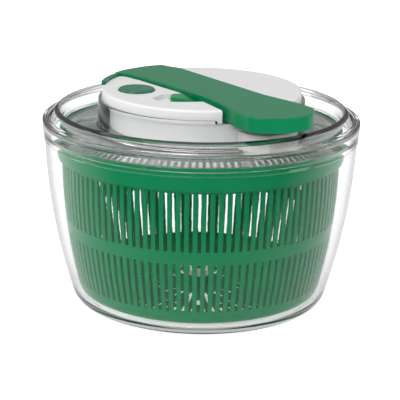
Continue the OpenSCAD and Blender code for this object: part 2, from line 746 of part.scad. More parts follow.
// Bevel gear round Z whose wide face lies on the XY plane, with a hub below it
module bevel(phase, hub_h) {
    difference() {
        union() {
            rotate(phase) linear_extrude(bevel_face, scale = 1 - bevel_face / bevel_r)
                polygon(teeth_outline(bevel_teeth, bevel_m, bevel_add, bevel_ded, backlash + 0.1,
                    0, bevel_teeth - 1));
            translate([0, 0, -hub_h]) cylinder(r = bevel_r - bevel_ded - 1.4, h = hub_h + over);
        }
        translate([0, 0, -hub_h - 1]) cylinder(r = shaft_r, h = hub_h + bevel_face + 2);
    }
}

module bevel_pinion() color(pale_plastic) {
    along_lever() translate([shaft_s, lay_n - bevel_r, shaft_z]) rotate([-90, 0, 0])
        bevel(90, 2.2);
}

module bevel_gear() color(pale_plastic) {
    along_lever() translate([shaft_s, lay_n, shaft_z - bevel_r]) bevel(90 + 180 / bevel_teeth, 5.8);
}

module layshaft() color(steel) {
    along_lever() translate([shaft_s, lay_n, tray_z + 0.6])
        cylinder(r = shaft_r, h = shaft_z - bevel_r + bevel_face + 0.3 - tray_z - 0.6);
}

module layshaft_wheel() color(pale_plastic) {
    along_lever() translate([shaft_s, lay_n, wheel_z]) difference() {
        rotate(lay_angle) gear(wheel_teeth, wheel_m, wheel_w, stub, dedendum);
        translate([0, 0, -1]) cylinder(r = shaft_r, h = 9);
        for (i = [0 : 4]) rotate(72 * i) translate([17, 0, -1]) cylinder(r = 6.5, h = 9);
    }
}

module spindle() color(steel) {
    difference() {
        translate([0, 0, spindle_low]) cylinder(r = spindle_r, h = bridge_top + 1 - spindle_low);
        translate([0, 0, spindle_low - 1]) cylinder(r = screw_r, h = 9);
    }
}

module spindle_bush() color(pale_plastic) {
    difference() {
        union() {
            translate([0, 0, lid_z]) cylinder(r = bush_out, h = deck_z - lid_z);
            translate([0, 0, lid_z - 0.7]) cylinder(r = bush_out + 2, h = 0.7);
        }
        translate([0, 0, lid_z - 2]) cylinder(r = spindle_r + run_fit, h = 20);
    }
}

module spindle_pinion() color(pale_plastic) {
    along_lever() translate([0, 0, wheel_z]) difference() {
        rotate(lay_angle + 180 + 180 / spindle_teeth)
            gear(spindle_teeth, wheel_m, wheel_w + 0.2, stub, dedendum);
        translate([0, 0, -1]) cylinder(r = spindle_r, h = 9);
    }
}

// Driver with sprung pawls that push the drive plate's ratchet one way
module clutch_driver() color(pale_plastic) {
    hub = spindle_r + 2.2;
    pawl = 1.2;
    translate([0, 0, clutch_z]) linear_extrude(clutch_h) difference() {
        union() {
            circle(r = hub);
            for (i = [0 : pawl_count - 1]) rotate(360 / pawl_count * i) {
                translate([0, -pawl / 2 - hub + 1]) square([7, pawl + 0.6]);
                polygon([for (k = [0 : 8]) let (a = -30 + 9 * k, r = 7.4 + 0.44 * k) [r * cos(a), r * sin(a)],
                         for (k = [8 : -1 : 0]) let (a = -30 + 9 * k, r = 6 + 0.36 * k)
                             [r * cos(a), r * sin(a)]]);
            }
        }
        circle(r = spindle_r);
    }
}

module drive_plate() color(clear_plastic) {
    ring = [for (i = [0 : ratchet_teeth - 1])
        for (p = [[0, ratchet_in], [1, ratchet_r]])
            let (a = 360 / ratchet_teeth * (i + p[0] * 0.96)) [p[1] * cos(a), p[1] * sin(a)]];
    difference() {
        union() {
            translate([0, 0, drive_z]) cylinder(r = drive_r, h = plate_t);
            translate([0, 0, drive_hub_z]) cylinder(r = drive_hub_r, h = drive_z - drive_hub_z + over);
            translate([0, 0, drive_top - over]) cylinder(r = ratchet_r + ratchet_wall, h = ratchet_h);
            for (i = [0 : tab_count - 1]) rotate(360 / tab_count * i)
                translate([drive_r - 4, -tab_w / 2, drive_z]) cube([tab_r - drive_r + 4, tab_w, plate_t]);
            for (i = [0 : 7]) rotate(45 * i + 22.5)
                translate([drive_hub_r - 1, -0.8, drive_z - 2.5])
                    cube([drive_r - drive_hub_r - 6, 1.6, 2.5 + over]);
        }
        translate([0, 0, drive_top]) linear_extrude(20) polygon(ring);
        translate([0, 0, drive_hub_z - 1]) cylinder(r = spindle_r + run_fit, h = 30);
    }
}

module plate_washer() color(steel) {
    translate([0, 0, spindle_low - 0.8]) difference() {
        cylinder(r = drive_hub_r - 1, h = 0.8);
        translate([0, 0, -1]) cylinder(r = screw_r + 0.1, h = 3);
    }
}

module plate_screw() color(steel) { translate([0, 0, spindle_low - 0.8]) screw(7); }

module brake_button() color(green_plastic) {
    r = button_r;
    stem_low = tray_z - 1.2;
    translate([brake_x, brake_y, 0]) rotate_extrude() polygon([
        [0, stem_low], [stem_r, stem_low], [stem_r, button_z - 4], [r - button_wall, button_z - 4],
        [r - button_wall, button_z - button_skirt], [r, button_z - button_skirt], [r, button_z - 1],
        [r - 0.4, button_z - 0.3], [r - 1, button_z], [r - 2, button_z - 0.2], [r * 0.5, button_z - 0.9],
        [0, button_z - 1.1]]);
}

module brake_shoe() color(rubber) {
    translate([brake_x, brake_y, shoe_z]) difference() {
        cylinder(r = shoe_r, h = shoe_top - shoe_z);
        translate([0, 0, tray_z - 1.2 - shoe_z]) cylinder(r = stem_r, h = 5);
    }
}

module brake_spring() color(steel) {
    low = deck_z + spring_wire / 2 + 0.05;
    high = button_z - 4 - spring_wire / 2 - 0.05;
    translate([brake_x, brake_y, low]) coil(spring_r, spring_wire, spring_turns, high - low);
}

module lock_slider() color(green_plastic) {
    stem_x = -22;
    stem_y = -39.5;
    tab_h = lock_well + 1.6;
    hook_n = -14.9;
    hook_t = 1.2;
    nose_n = -19.8;
    difference() {
        translate([0, 0, lock_floor_z + 0.3]) linear_extrude(tab_h - 0.3)
            polygon(rounded([[-23, -42.5, 3], [-22, -30, 3], [-13, -27.5, 3], [-3.5, -37.5, 0.8],
                             [-12, -44.5, 3]]));
        // The tab falls away towards its pointed end
        translate([-14, -60, cover_z + 1.4]) rotate([0, 22, 0]) cube([40, 60, 20]);
    }
    translate([stem_x, stem_y, tongue_z]) cube([8, 4, lock_floor_z + 1 - tongue_z]);
    along_lever() translate([lock_s - tongue_w / 2, 0, 0]) {
        translate([0, -38, tongue_z]) cube([tongue_w, 38 + hook_n + hook_t, tongue_t]);
        translate([0, hook_n, tongue_z]) cube([tongue_w, hook_t, nose_z + nose_h - tongue_z]);
        translate([0, nose_n, nose_z]) cube([tongue_w, hook_n - nose_n + over, nose_h]);
    }
}

bowl();
basket();
pivot_bush();
lid();
gear_tray();
cover();
gear_bridge();
bridge_screws();
lid_screws();
lever();
sector_gear();
sector_screws();
hinge_pin();
hinge_clips();
lever_spring();
cross_shaft();
drive_pinion();
bevel_pinion();
layshaft();
bevel_gear();
layshaft_wheel();
spindle();
spindle_bush();
spindle_pinion();
clutch_driver();
plate_washer();
plate_screw();
drive_plate();
brake_button();
brake_spring();
brake_shoe();
lock_slider();
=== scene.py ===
import math

import bpy
from mathutils import Matrix, Vector


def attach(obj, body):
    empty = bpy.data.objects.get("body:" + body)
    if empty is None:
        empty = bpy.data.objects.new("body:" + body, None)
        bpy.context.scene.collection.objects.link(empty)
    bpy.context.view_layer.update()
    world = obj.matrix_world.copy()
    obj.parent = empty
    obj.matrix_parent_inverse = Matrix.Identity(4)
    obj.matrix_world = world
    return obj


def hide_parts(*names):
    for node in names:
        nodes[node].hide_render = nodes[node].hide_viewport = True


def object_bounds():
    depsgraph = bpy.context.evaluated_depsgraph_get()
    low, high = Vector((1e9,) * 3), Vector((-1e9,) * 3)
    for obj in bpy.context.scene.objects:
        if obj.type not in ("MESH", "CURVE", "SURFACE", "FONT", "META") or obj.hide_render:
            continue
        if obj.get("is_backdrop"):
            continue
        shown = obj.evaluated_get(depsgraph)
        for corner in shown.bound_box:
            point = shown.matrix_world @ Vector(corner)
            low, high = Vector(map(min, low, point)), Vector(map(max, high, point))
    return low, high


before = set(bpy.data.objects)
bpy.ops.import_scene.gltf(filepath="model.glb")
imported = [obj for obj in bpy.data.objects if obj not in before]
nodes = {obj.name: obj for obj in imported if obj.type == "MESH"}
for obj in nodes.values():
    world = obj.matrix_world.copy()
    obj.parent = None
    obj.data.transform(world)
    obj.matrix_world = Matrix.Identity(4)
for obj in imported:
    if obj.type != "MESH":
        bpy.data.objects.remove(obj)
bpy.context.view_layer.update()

MM = 0.001
LEVER_TURN = math.radians(-55)
bpy.ops.object.select_all(action="DESELECT")


# ---------------------------------------------------------------------------------------------
# Studio. A white floor under broad soft lights. The surroundings are grey near the horizon, which
# draws the clear edges. In reflections the floor shows a painted shade: an emission that is dim over
# its front half, so that it leaves no milky veil on the clear walls.
FLOOR_SIZE, PAINTED_REFLECTION_NEAR, PAINTED_REFLECTION_FAR = 14, 0.06, 0.85
VIEW_DISTANCE, VIEW_HEIGHT, VIEW_PITCH, VIEW_ROLL, LENS = 1.15, 0.421, 73.28, 1.0, 140.4


def node(tree, kind, place=(0, 0), **settings):
    """Adds one shader node. Names with a capital are its input sockets, the others its settings."""
    made = tree.nodes.new(kind)
    made.location = place
    for name, value in settings.items():
        if name[0].isupper():
            made.inputs[name.replace("_", " ")].default_value = value
        else:
            setattr(made, name, value)
    return made


def wire(tree, *pairs):
    """Links (node, output, node, input) for each of the pairs."""
    for start, out, end, into in pairs:
        tree.links.new(start.outputs[out], end.inputs[into])


def ramp(tree, stops, place=(0, 0)):
    """Adds a colour ramp through (position, grey or colour) stops."""
    made = node(tree, "ShaderNodeValToRGB", place)
    band = made.color_ramp.elements
    while len(band) < len(stops):
        band.new(0.5)
    for stop, (where, tone) in zip(band, stops):
        stop.position = where
        stop.color = (*tone, 1) if isinstance(tone, tuple) else (tone, tone, tone, 1)
    return made


studio = bpy.data.worlds.new("studio")
bpy.context.scene.world = studio
studio.use_nodes = True
sky = studio.node_tree
sky.nodes.clear()
sky_place = node(sky, "ShaderNodeTexCoord")
sky_split = node(sky, "ShaderNodeSeparateXYZ", (200, 0))
sky_map = node(sky, "ShaderNodeMapRange", (400, 0), From_Min=-1.0, From_Max=1.0)
SKY_TONES = [(0.0, 0.3), (0.46, 0.26), (0.53, 0.24), (0.6, 0.55), (0.8, 0.95), (1.0, 1.1)]
sky_tone = ramp(sky, SKY_TONES, (600, 0))
sky_light = node(sky, "ShaderNodeBackground", (900, 0), Strength=0.62)
sky_out = node(sky, "ShaderNodeOutputWorld", (1100, 0))
wire(sky, (sky_place, "Generated", sky_split, "Vector"), (sky_split, "Z", sky_map, "Value"),
     (sky_map, "Result", sky_tone, "Fac"), (sky_tone, "Color", sky_light, "Color"),
     (sky_light, "Background", sky_out, "Surface"))

bpy.ops.mesh.primitive_plane_add(size=FLOOR_SIZE, location=(0, 0, 0))
floor = bpy.context.object
floor.name = "studio_floor"
floor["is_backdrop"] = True
floor_paint = bpy.data.materials.new("floor_paint")
floor_paint.use_nodes = True
tree = floor_paint.node_tree
tree.nodes.clear()
place = node(tree, "ShaderNodeTexCoord")
cloud = node(tree, "ShaderNodeTexNoise", (200, 0), Scale=0.6, Detail=2.0)
tone = ramp(tree, [(0.3, 0.93), (0.7, 0.95)], (400, 0))
paint = node(tree, "ShaderNodeBsdfPrincipled", (700, 0), Roughness=0.9, Emission_Strength=0.55)
paint.inputs["Specular IOR Level"].default_value = 0.1
paint.inputs["Emission Color"].default_value = (1, 1, 1, 1)
out = node(tree, "ShaderNodeOutputMaterial", (1200, 0))
# Painted reflection: rays mirrored off glossy surfaces see a dim emission, darker towards the floor's
# front, instead of the lit floor
path = node(tree, "ShaderNodeLightPath", (700, 400))
mirrored = node(tree, "ShaderNodeMath", (850, 300), operation="GREATER_THAN")
mirrored.inputs[1].default_value = 0.5
split = node(tree, "ShaderNodeSeparateXYZ", (200, -300))
painted_reflection_fade = node(tree, "ShaderNodeMapRange", (500, -300), From_Min=-0.25, From_Max=0.05, To_Min=PAINTED_REFLECTION_NEAR,
           To_Max=PAINTED_REFLECTION_FAR)
painted_reflection = node(tree, "ShaderNodeEmission", (850, -300))
pick = node(tree, "ShaderNodeMixShader", (1000, 0))
wire(tree, (place, "Object", cloud, "Vector"), (cloud, "Fac", tone, "Fac"),
     (tone, "Color", paint, "Base Color"), (place, "Object", split, "Vector"), (split, "Y", painted_reflection_fade, "Value"),
     (painted_reflection_fade, "Result", painted_reflection, "Strength"),
     (path, "Glossy Depth", mirrored, 0), (mirrored, 0, pick, 0), (paint, "BSDF", pick, 1),
     (painted_reflection, "Emission", pick, 2), (pick, "Shader", out, "Surface"))
floor.data.materials.append(floor_paint)

# name, place, aim, width, height, watts
SOFT_LIGHTS = [
    ("window_front", (-0.9, -1.9, 1.5), (0, 0, 0.08), 1.6, 1.2, 24),
    ("window_left", (-1.7, 0.1, 0.9), (0, 0, 0.08), 0.9, 1.4, 6),
    ("window_right", (1.8, -0.5, 1.0), (0, 0, 0.08), 0.7, 1.4, 6),
    ("ceiling", (0.1, 0.4, 2.2), (0, 0, 0.1), 1.8, 1.4, 7),
]
for name, spot, aim, width, height, watts in SOFT_LIGHTS:
    bpy.ops.object.light_add(type="AREA", location=spot)
    lamp = bpy.context.object
    lamp.name = name
    lamp.data.shape = "RECTANGLE"
    lamp.data.size, lamp.data.size_y = width, height
    lamp.data.energy = watts
    lamp.rotation_euler = (Vector(aim) - Vector(spot)).to_track_quat("-Z", "Y").to_euler()

bpy.ops.object.camera_add(location=(0, -VIEW_DISTANCE, VIEW_HEIGHT))
camera = bpy.context.object
camera.name = "camera"
camera.rotation_euler = (Matrix.Rotation(math.radians(VIEW_PITCH), 3, "X")
                         @ Matrix.Rotation(math.radians(VIEW_ROLL), 3, "Z")).to_euler()
camera.data.lens = LENS
camera.data.clip_end = 30
bpy.context.scene.camera = camera
bpy.context.scene.view_settings.view_transform = "Standard"
bpy.context.scene.cycles.max_bounces = 20
bpy.context.scene.cycles.transmission_bounces = 20
bpy.context.scene.cycles.transparent_max_bounces = 16


# ---------------------------------------------------------------------------------------------
# Bowl. One injection moulding in clear stiff plastic, 2.4 mm thick, with an arched wall, a band
# round its rim, a foot ring under it and a tapered pin in the middle that the basket turns on.
BOWL_R, BOWL_H, BOWL_WALL = 118.3, 133.8, 2.4
BOWL_ARCH_Z, BOWL_ARCH_R, BOWL_CORNER = 140.0, 436.5, 12.0
FLOOR_Z, FOOT_H, FOOT_W, BAND_R, BAND_Z = 4.2, 1.8, 3.2, 119.1, 127.6
PIN_R, PIN_TOP = 5.0, 15.2


def edit(piece):
    """Opens one piece in edit mode with nothing selected."""
    bpy.ops.object.select_all(action="DESELECT")
    piece.select_set(True)
    bpy.context.view_layer.objects.active = piece
    bpy.ops.object.mode_set(mode="EDIT")
    bpy.ops.mesh.select_mode(type="VERT")
    bpy.ops.mesh.select_all(action="DESELECT")


def done():
    bpy.ops.object.mode_set(mode="OBJECT")
    bpy.ops.object.select_all(action="DESELECT")


def smooth(piece, angle=32):
    """Shades a piece smooth except over edges sharper than angle."""
    bpy.ops.object.select_all(action="DESELECT")
    piece.select_set(True)
    bpy.context.view_layer.objects.active = piece
    bpy.ops.object.shade_smooth_by_angle(angle=math.radians(angle))
    bpy.ops.object.select_all(action="DESELECT")


def apply(piece, kind, **settings):
    """Adds one modifier with its settings and applies it."""
    bpy.ops.object.select_all(action="DESELECT")
    bpy.context.view_layer.objects.active = piece
    piece.select_set(True)
    step = piece.modifiers.new(kind.lower(), kind)
    for name, value in settings.items():
        setattr(step, name, value)
    bpy.ops.object.modifier_apply(modifier=step.name)
    bpy.ops.object.select_all(action="DESELECT")


def rounded(corners, steps=4):
    """Points of an outline whose corners (x, y, radius) are rounded."""
    points = []
    for i, (x, y, radius) in enumerate(corners):
        here = Vector((x, y))
        back = Vector(corners[i - 1][:2]) - here
        ahead = Vector(corners[(i + 1) % len(corners)][:2]) - here
        if radius == 0 or abs(back.normalized().cross(ahead.normalized())) < 1e-3:
            points.append((x, y))
            continue
        a, b = back.normalized(), ahead.normalized()
        half = a.angle(b) / 2
        reach = min(radius / math.tan(half), back.length * 0.49, ahead.length * 0.49)
        radius = reach * math.tan(half)
        middle = here + (a + b).normalized() * radius / math.sin(half)
        start = here + a * reach - middle
        turn = (math.pi - 2 * half) * (-1 if a.cross(b) > 0 else 1)
        for k in range(steps + 1):
            at = middle + Matrix.Rotation(turn * k / steps, 2) @ start
            points.append((at.x, at.y))
    return points


def arched(r, z, top, arch):
    """Radius at height z of a wall that is one arch in section, upright at height top."""
    return r - arch + math.sqrt(arch * arch - (top - z) ** 2)


def shell(r, low, high, top, arch, corner, inset, steps, corner_steps=8):
    """Section of a bowl, from its floor round the corner and up to height high."""
    tilt = math.asin((top - low - corner) / arch)
    touch = low + corner * (1 - math.sin(tilt))
    middle = arched(r, touch, top, arch) - inset - corner * math.cos(tilt)
    turns = [-math.pi / 2 + (math.pi / 2 - tilt) * i / corner_steps for i in range(corner_steps + 1)]
    rise = [touch + (high - touch) * i / steps for i in range(1, steps + 1)]
    return ([(middle + corner * math.cos(a), low + corner * (1 + math.sin(a))) for a in turns]
            + [(arched(r, z, top, arch) - inset, z) for z in rise])


def turned(name, outline, steps=180):
    """Spins a closed outline of (radius, height) in millimetres round the Z axis."""
    bpy.ops.object.select_all(action="DESELECT")
    bpy.ops.mesh.primitive_circle_add(vertices=len(outline), radius=0.1)
    piece = bpy.context.object
    piece.name = name
    for corner, (r, z) in zip(piece.data.vertices, outline):
        corner.co = (r * MM, 0, z * MM)
    edit(piece)
    bpy.ops.mesh.select_all(action="SELECT")
    bpy.ops.mesh.spin(steps=steps, angle=2 * math.pi, center=(0, 0, 0), axis=(0, 0, 1))
    bpy.ops.mesh.select_all(action="SELECT")
    bpy.ops.mesh.remove_doubles(threshold=1e-6)
    bpy.ops.mesh.delete_loose(use_verts=True, use_edges=True, use_faces=False)
    bpy.ops.mesh.select_all(action="SELECT")
    bpy.ops.mesh.normals_make_consistent(inside=False)
    done()
    return piece


def group(name, inputs, outputs):
    """Starts a shader node group with named inputs (name, kind, value) and outputs (name, kind)."""
    made = bpy.data.node_groups.new(name, "ShaderNodeTree")
    for title, kind, value in inputs:
        made.interface.new_socket(title, in_out="INPUT", socket_type=kind).default_value = value
    for title, kind in outputs:
        made.interface.new_socket(title, in_out="OUTPUT", socket_type=kind)
    return made, node(made, "NodeGroupInput", (-400, 0)), node(made, "NodeGroupOutput", (1400, 0))


# Moulded skin: slow waves where the plastic shrank, fine grain from the mould, and hair scratches
skin, skin_in, skin_out = group(
    "moulded_skin",
    [("Colour", "NodeSocketColor", (0.5, 0.5, 0.5, 1)), ("Shade", "NodeSocketFloat", 0.05),
     ("Gloss", "NodeSocketFloat", 0.3), ("Gloss spread", "NodeSocketFloat", 0.1),
     ("Grain", "NodeSocketFloat", 0.1), ("Grain size", "NodeSocketFloat", 1500.0),
     ("Scratches", "NodeSocketFloat", 0.2)],
    [("Colour", "NodeSocketColor"), ("Roughness", "NodeSocketFloat"), ("Normal", "NodeSocketVector")])
at = node(skin, "ShaderNodeTexCoord", (-200, -300))
waves = node(skin, "ShaderNodeTexNoise", (0, 200), Scale=38.0, Detail=3.0)
grain = node(skin, "ShaderNodeTexNoise", (0, -100), Detail=2.0)
turn = node(skin, "ShaderNodeMapping", (0, -400), Rotation=(0.3, 0.5, 0.9), Scale=(60.0, 1400.0, 60.0))
hairs = node(skin, "ShaderNodeTexNoise", (200, -400), Scale=1.0, Detail=1.0)
hair_line = node(skin, "ShaderNodeMapRange", (400, -400), From_Min=0.68, From_Max=0.74)
hair_amount = node(skin, "ShaderNodeMath", (600, -400), operation="MULTIPLY")
centre = node(skin, "ShaderNodeMapRange", (200, 200), To_Min=-1.0, To_Max=1.0)
shade = node(skin, "ShaderNodeMath", (400, 300), operation="MULTIPLY_ADD")
shade.inputs[2].default_value = 1.0
tint = node(skin, "ShaderNodeVectorMath", (700, 300), operation="SCALE")
spread = node(skin, "ShaderNodeMath", (400, 100), operation="MULTIPLY_ADD")
scratched = node(skin, "ShaderNodeMath", (800, 0), operation="MULTIPLY_ADD")
scratched.inputs[1].default_value = 0.25
height = node(skin, "ShaderNodeMath", (600, -150), operation="SUBTRACT")
bump = node(skin, "ShaderNodeBump", (900, -200), Distance=0.0002)
wire(skin, (at, "Object", waves, "Vector"), (at, "Object", grain, "Vector"), (at, "Object", turn, "Vector"),
     (turn, "Vector", hairs, "Vector"), (hairs, "Fac", hair_line, "Value"),
     (hair_line, "Result", hair_amount, 0), (skin_in, "Scratches", hair_amount, 1),
     (skin_in, "Grain size", grain, "Scale"), (waves, "Fac", centre, "Value"),
     (centre, "Result", shade, 0), (skin_in, "Shade", shade, 1),
     (skin_in, "Colour", tint, 0), (shade, 0, tint, "Scale"), (tint, 0, skin_out, "Colour"),
     (centre, "Result", spread, 0), (skin_in, "Gloss spread", spread, 1), (skin_in, "Gloss", spread, 2),
     (hair_amount, 0, scratched, 0), (spread, 0, scratched, 2), (scratched, 0, skin_out, "Roughness"),
     (grain, "Fac", height, 0), (hair_amount, 0, height, 1), (height, 0, bump, "Height"),
     (skin_in, "Grain", bump, "Strength"), (bump, "Normal", skin_out, "Normal"))


def finish_of(name, colour, shade=0.04, gloss=0.3, spread=0.06, grain=0.1, size=1500.0, scratches=0.2,
              **sockets):
    """A solid plastic, metal or rubber: the moulded skin with its own values, and one shader."""
    made = bpy.data.materials.new(name)
    made.use_nodes = True
    tree = made.node_tree
    tree.nodes.clear()
    cover = node(tree, "ShaderNodeGroup")
    cover.node_tree = skin
    for title, value in (("Colour", (*colour, 1)), ("Shade", shade), ("Gloss", gloss),
                         ("Gloss spread", spread), ("Grain", grain), ("Grain size", size),
                         ("Scratches", scratches)):
        cover.inputs[title].default_value = value
    body = node(tree, "ShaderNodeBsdfPrincipled", (300, 0))
    for title, value in sockets.items():
        body.inputs[title.replace("_", " ")].default_value = value
    end = node(tree, "ShaderNodeOutputMaterial", (600, 0))
    wire(tree, (cover, "Colour", body, "Base Color"), (cover, "Roughness", body, "Roughness"),
         (cover, "Normal", body, "Normal"), (body, "BSDF", end, "Surface"))
    return made


def clear(name, tint, gloss, grain, shadow, through=1.0):
    """A clear plastic: it bends light, and lets lamp light through with only a faint shadow."""
    made = finish_of(name, tint, shade=0.004, gloss=gloss, spread=0.012, grain=grain, size=420.0,
                     scratches=0.12, IOR=1.5, Transmission_Weight=through)
    tree = made.node_tree
    body = next(n for n in tree.nodes if n.type == "BSDF_PRINCIPLED")
    end = next(n for n in tree.nodes if n.type == "OUTPUT_MATERIAL")
    path = node(tree, "ShaderNodeLightPath", (300, 400))
    through = node(tree, "ShaderNodeBsdfTransparent", (300, 200), Color=(shadow, shadow, shadow, 1))
    mix = node(tree, "ShaderNodeMixShader", (600, 200))
    wire(tree, (path, "Is Shadow Ray", mix, 0), (body, "BSDF", mix, 1), (through, "BSDF", mix, 2),
         (mix, "Shader", end, "Surface"))
    return made


def wear(piece, *materials):
    piece.data.materials.clear()
    for material in materials:
        piece.data.materials.append(material)
    return piece


bowl_plastic = clear("bowl_plastic", (0.985, 0.99, 0.988), 0.02, 0.03, 0.93)
outside = shell(BOWL_R, 0, BAND_Z - 1, BOWL_ARCH_Z, BOWL_ARCH_R, BOWL_CORNER, 0, 26)
inside = shell(BOWL_R, FLOOR_Z, BOWL_H, BOWL_ARCH_Z, BOWL_ARCH_R, BOWL_CORNER - BOWL_WALL, BOWL_WALL, 26)
ring_r = outside[0][0] - FOOT_W
rim = rounded([(*outside[-1], 0), (BAND_R, BAND_Z, 0.3), (BAND_R, BOWL_H, 0.6), (*inside[-1], 0.5),
               (*inside[-2], 0)])[1:-1]
foot = rounded([(0, FOOT_H, 0), (ring_r - 2 * FOOT_H, FOOT_H, 1), (ring_r - 0.4, 0, 0.6), (*outside[0], 0)])
pin = rounded([(*inside[0], 0), (PIN_R + 4, FLOOR_Z, 2), (PIN_R, FLOOR_Z + 2, 1.5), (PIN_R, PIN_TOP, 0.8),
               (0, PIN_TOP, 0)])
bowl = turned("clear_bowl", foot[:-1] + outside + rim + inside[-2:0:-1] + pin)
smooth(bowl)
wear(bowl, bowl_plastic)
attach(bowl, "bowl")
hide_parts("bowl")


# ---------------------------------------------------------------------------------------------
# Basket. A green strainer in one moulding: a solid rim band, two rows of 108 upright slots round
# a plain middle band, rings of drain holes in the floor and a hub that turns on the bowl's pin.
RIM_R, BASKET_TOP, BASKET_R, BASKET_Z = 108.8, 131.0, 105.4, 7.8
BASKET_ARCH_Z, BASKET_ARCH_R, BASKET_CORNER, BASKET_WALL = 112.0, 408.0, 10.0, 2.0
UPPER_SLOTS, LOWER_SLOTS, UPPER_W, LOWER_W = (67.5, 111.4), (19.6, 57.7), 2.7, 2.3
BORE_R, HUB_TOP, SLOTS, SECTORS = 7.12, 15.8, 108, 18
DRAINS = [(22, 34, (0, 1, 5)), (38, 52, (0, 3)), (56, 70, (0, 2, 4))]
RIB_TURNS, RIB_SIDE, RIB_R, RIB_Z, RIB_SIZE = 4, 6.6, 106.3, 123.0, (3.0, 2.4, 14.0)

wall = shell(BASKET_R, BASKET_Z, BASKET_ARCH_Z, BASKET_ARCH_Z, BASKET_ARCH_R, BASKET_CORNER, 0, 40, 6)


def wall_at(z):
    """Radius of the basket's outer wall at height z."""
    for (r0, z0), (r1, z1) in zip(wall, wall[1:]):
        if z0 <= z <= z1:
            return r0 + (r1 - r0) * (z - z0) / (z1 - z0)
    return wall[-1][0]


def levels(low, high, count):
    return [low + (high - low) * i / count for i in range(count + 1)]


# Rows from the hub's top, along the floor and up the wall, each (radius, height, slot width)
rows = [(BORE_R, HUB_TOP, LOWER_W), (BORE_R, BASKET_Z + 1.2, LOWER_W), (BORE_R + 0.5, BASKET_Z, LOWER_W)]
rows += [(r, BASKET_Z, LOWER_W) for r in (14, 22, 28, 34, 38, 45, 52, 56, 63, 70, 76)]
rows += [(r, z, LOWER_W) for r, z in wall[:7]]
rows += [(wall_at(z), z, LOWER_W) for z in levels(*LOWER_SLOTS, 5)]
rows += [(wall_at(z), z, UPPER_W) for z in [62.6] + levels(*UPPER_SLOTS, 6)]
rows += [(BASKET_R + 0.2, 112.2, UPPER_W), (RIM_R - 0.3, 113.6, UPPER_W), (RIM_R, 114.4, UPPER_W)]
rows += [(RIM_R, z, UPPER_W) for z in (119, 125, BASKET_TOP - 0.6)]
rows += [(RIM_R - 0.15, BASKET_TOP, UPPER_W)]
bay = 2 * math.pi / SLOTS
bays = SLOTS // SECTORS

# One sector is a grid: each bay has half a bar, a slot and half a bar
bpy.ops.mesh.primitive_grid_add(x_subdivisions=3 * bays, y_subdivisions=len(rows) - 1, size=1)
basket = bpy.context.object
basket.name = "slotted_basket"
across = 3 * bays + 1
for i, corner in enumerate(basket.data.vertices):
    r, z, width = rows[i // across]
    step, part = divmod(i % across, 3)
    half = min(math.asin(width / 2 / r), bay * 0.3)
    turn = step * bay + (-bay / 2, -half, half)[part]
    corner.co = (r * math.cos(turn) * MM, r * math.sin(turn) * MM, z * MM)


def is_open(face):
    """True where the mould leaves a slot or a drain hole, from the face's middle."""
    x, y, z = face.center / MM
    r, turn = math.hypot(x, y), math.atan2(y, x)
    slot = abs((turn / bay + 0.5) % 1 - 0.5) * bay < 0.8 / r
    if slot and any(low < z < high for low, high in (UPPER_SLOTS, LOWER_SLOTS)):
        return True
    number = round(turn / bay) % bays
    return z < BASKET_Z + 0.01 and any(low < r < high and number in open_bays
                                       for low, high, open_bays in DRAINS)


edit(basket)
bpy.ops.object.mode_set(mode="OBJECT")
for face in basket.data.polygons:
    face.select = is_open(face)
bpy.ops.object.mode_set(mode="EDIT")
bpy.ops.mesh.select_mode(type="FACE")
bpy.ops.mesh.delete(type="FACE")
bpy.ops.mesh.select_all(action="SELECT")
bpy.ops.mesh.spin(steps=SECTORS, angle=2 * math.pi, center=(0, 0, 0), axis=(0, 0, 1), dupli=True)
bpy.ops.mesh.select_all(action="SELECT")
bpy.ops.mesh.remove_doubles(threshold=2e-6)
bpy.ops.mesh.normals_make_consistent(inside=False)
done()
if sum(f.normal.dot(Vector((*f.center.xy, 0))) for f in basket.data.polygons if f.center.z > 0.06) < 0:
    basket.data.flip_normals()
apply(basket, "SOLIDIFY", thickness=BASKET_WALL * MM, offset=-1.0, use_even_offset=True)

# Pairs of ribs inside the rim take the drive plate's four tabs
for turn in range(RIB_TURNS):
    for side in (-RIB_SIDE, RIB_SIDE):
        bpy.ops.mesh.primitive_cube_add(size=1)
        rib = bpy.context.object
        rib.data.transform(Matrix.Translation(Vector((RIB_R, side, RIB_Z)) * MM)
                           @ Matrix.Diagonal((*(Vector(RIB_SIZE) * MM), 1)))
        rib.data.transform(Matrix.Rotation(turn * 2 * math.pi / RIB_TURNS, 4, "Z"))
        basket.select_set(True)
        bpy.context.view_layer.objects.active = basket
        bpy.ops.object.join()
apply(basket, "BEVEL", width=0.22 * MM, segments=1, limit_method="ANGLE", angle_limit=math.radians(50),
      use_clamp_overlap=False)
smooth(basket, 40)
basket_green = finish_of("basket_green", (0.0, 0.21, 0.075), shade=0.05, gloss=0.22, spread=0.06,
                         grain=0.05, size=700.0, scratches=0.1, IOR=1.45, Specular_IOR_Level=0.22)
wear(basket, basket_green)
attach(basket, "basket")
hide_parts("basket")


